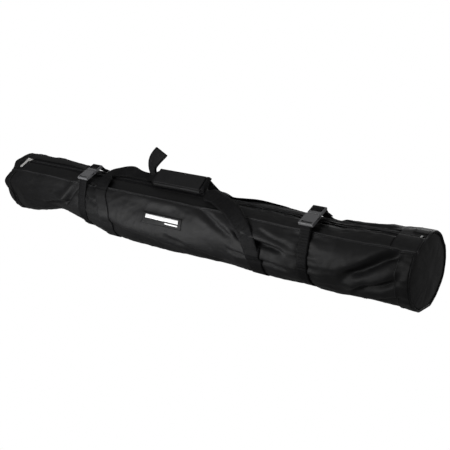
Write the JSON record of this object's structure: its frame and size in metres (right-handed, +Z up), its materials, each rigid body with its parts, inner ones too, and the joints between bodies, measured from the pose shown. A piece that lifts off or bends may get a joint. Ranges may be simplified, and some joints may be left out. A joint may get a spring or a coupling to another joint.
{
  "type": "telescope carry case",
  "caption": "Long soft round carry case with a zipped top mouth, compression straps with side-release buckles and a wrapped webbing grip.",
  "frame": {"origin": "on the floor under the middle of the case", "axes": "+X along the case towards the near end cap, -Y the front with the label, +Z up"},
  "size_m": [1.236, 0.1608, 0.238],
  "materials": {
    "shell_cloth": "woven nylon, light sheen",
    "lining": "plain lining cloth",
    "webbing": "ribbed webbing",
    "piping": "corded edge",
    "tape": "zipper tape",
    "coil": "nylon coil",
    "buckle": "moulded acetal",
    "slider_metal": "nickel plate",
    "stop_metal": "crimped steel",
    "hook": "hook tape",
    "loop": "loop tape",
    "label": "woven label",
    "board": "stiff sheet"
  },
  "bodies": {
    "root": {"base_panel": "shell_cloth", "front_panel": "shell_cloth", "rear_panel": "shell_cloth", "blank_label": "label", "handle_band_far": "webbing", "handle_band_near": "webbing", "front_leg_far": "webbing", "front_leg_near": "webbing", "rear_leg_far": "webbing", "rear_leg_near": "webbing", "far_mouth_end": "shell_cloth", "far_end_cap": "shell_cloth", "far_piping": "piping", "far_stiffener": "board", "far_seam_binding": "tape", "far_zip_stop": "stop_metal", "far_strap_base": "webbing", "far_strap_front": "webbing", "far_strap_rear": "webbing", "far_buckle_female": "buckle", "near_mouth_end": "shell_cloth", "near_end_cap": "shell_cloth", "near_piping": "piping", "near_stiffener": "board", "near_seam_binding": "tape", "near_zip_stop": "stop_metal", "near_strap_base": "webbing", "near_strap_front": "webbing", "near_strap_rear": "webbing", "near_buckle_female": "buckle"},
    "front_flap": {"front_flap": "shell_cloth", "front_tape": "tape", "front_coil": "coil"},
    "rear_flap": {"rear_flap": "shell_cloth", "rear_tape": "tape", "rear_coil": "coil"},
    "slider": {"slider_body": "slider_metal", "slider_bail": "slider_metal"},
    "pull_tab": {"pull_tab": "slider_metal"},
    "grip": {"grip_wrap": "webbing", "grip_webbing_front": "webbing", "grip_webbing_rear": "webbing", "loop_strip": "loop", "handle_loop": "webbing"},
    "wrap_flap": {"wrap_flap": "webbing", "hook_strip": "hook"},
    "far_plug": {"far_buckle_male": "buckle", "far_strap_tail": "webbing"},
    "far_arm_left": {"far_buckle_arm_left": "buckle"},
    "far_arm_right": {"far_buckle_arm_right": "buckle"},
    "near_plug": {"near_buckle_male": "buckle", "near_strap_tail": "webbing"},
    "near_arm_left": {"near_buckle_arm_left": "buckle"},
    "near_arm_right": {"near_buckle_arm_right": "buckle"}
  },
  "joints": [
    {"name": "zipper_slide", "type": "slide", "parent": "root", "child": "slider", "axis": [1, 0, 0], "range_m": [0, 1.168]},
    {"name": "pull_tab_swing", "type": "hinge", "parent": "slider", "child": "pull_tab", "pos_m": [-0.572, -0.02491, 0.15185], "axis": [-1, 0, 0], "range_deg": [0, 200]},
    {"name": "front_flap_fold", "type": "hinge", "parent": "root", "child": "front_flap", "pos_m": [0, -0.0572, 0.12371], "axis": [-1, 0, 0], "range_deg": [0, 80]},
    {"name": "rear_flap_fold", "type": "hinge", "parent": "root", "child": "rear_flap", "pos_m": [0, 0.01776, 0.14807], "axis": [1, 0, 0], "range_deg": [0, 80]},
    {"name": "far_buckle_release", "type": "slide", "parent": "root", "child": "far_plug", "axis": [0, 0.8829, 0.4695], "range_m": [0, 0.03], "deforming": ["far_strap_rear"]},
    {"name": "far_arm_left_press", "type": "hinge", "parent": "far_plug", "child": "far_arm_left", "pos_m": [-0.307, -0.03843, 0.15387], "axis": [0, -0.4695, 0.8829], "range_deg": [0, 8], "stiffness_Nm_per_rad": 0.05},
    {"name": "far_arm_right_press", "type": "hinge", "parent": "far_plug", "child": "far_arm_right", "pos_m": [-0.289, -0.03843, 0.15387], "axis": [0, 0.4695, -0.8829], "range_deg": [0, 8], "stiffness_Nm_per_rad": 0.05},
    {"name": "near_buckle_release", "type": "slide", "parent": "root", "child": "near_plug", "axis": [0, 0.8829, 0.4695], "range_m": [0, 0.03], "deforming": ["near_strap_rear"]},
    {"name": "near_arm_left_press", "type": "hinge", "parent": "near_plug", "child": "near_arm_left", "pos_m": [0.369, -0.03843, 0.15387], "axis": [0, -0.4695, 0.8829], "range_deg": [0, 8], "stiffness_Nm_per_rad": 0.05},
    {"name": "near_arm_right_press", "type": "hinge", "parent": "near_plug", "child": "near_arm_right", "pos_m": [0.387, -0.03843, 0.15387], "axis": [0, 0.4695, -0.8829], "range_deg": [0, 8], "stiffness_Nm_per_rad": 0.05},
    {"name": "grip_lift", "type": "slide", "parent": "root", "child": "grip", "axis": [0, 0, 1], "range_m": [0, 0.07], "deforming": ["front_leg_far", "front_leg_near", "rear_leg_far", "rear_leg_near"]},
    {"name": "wrap_flap_open", "type": "hinge", "parent": "grip", "child": "wrap_flap", "pos_m": [-0.002, -0.01309, 0.18708], "axis": [-1, 0, 0], "range_deg": [0, 150]}
  ]
}
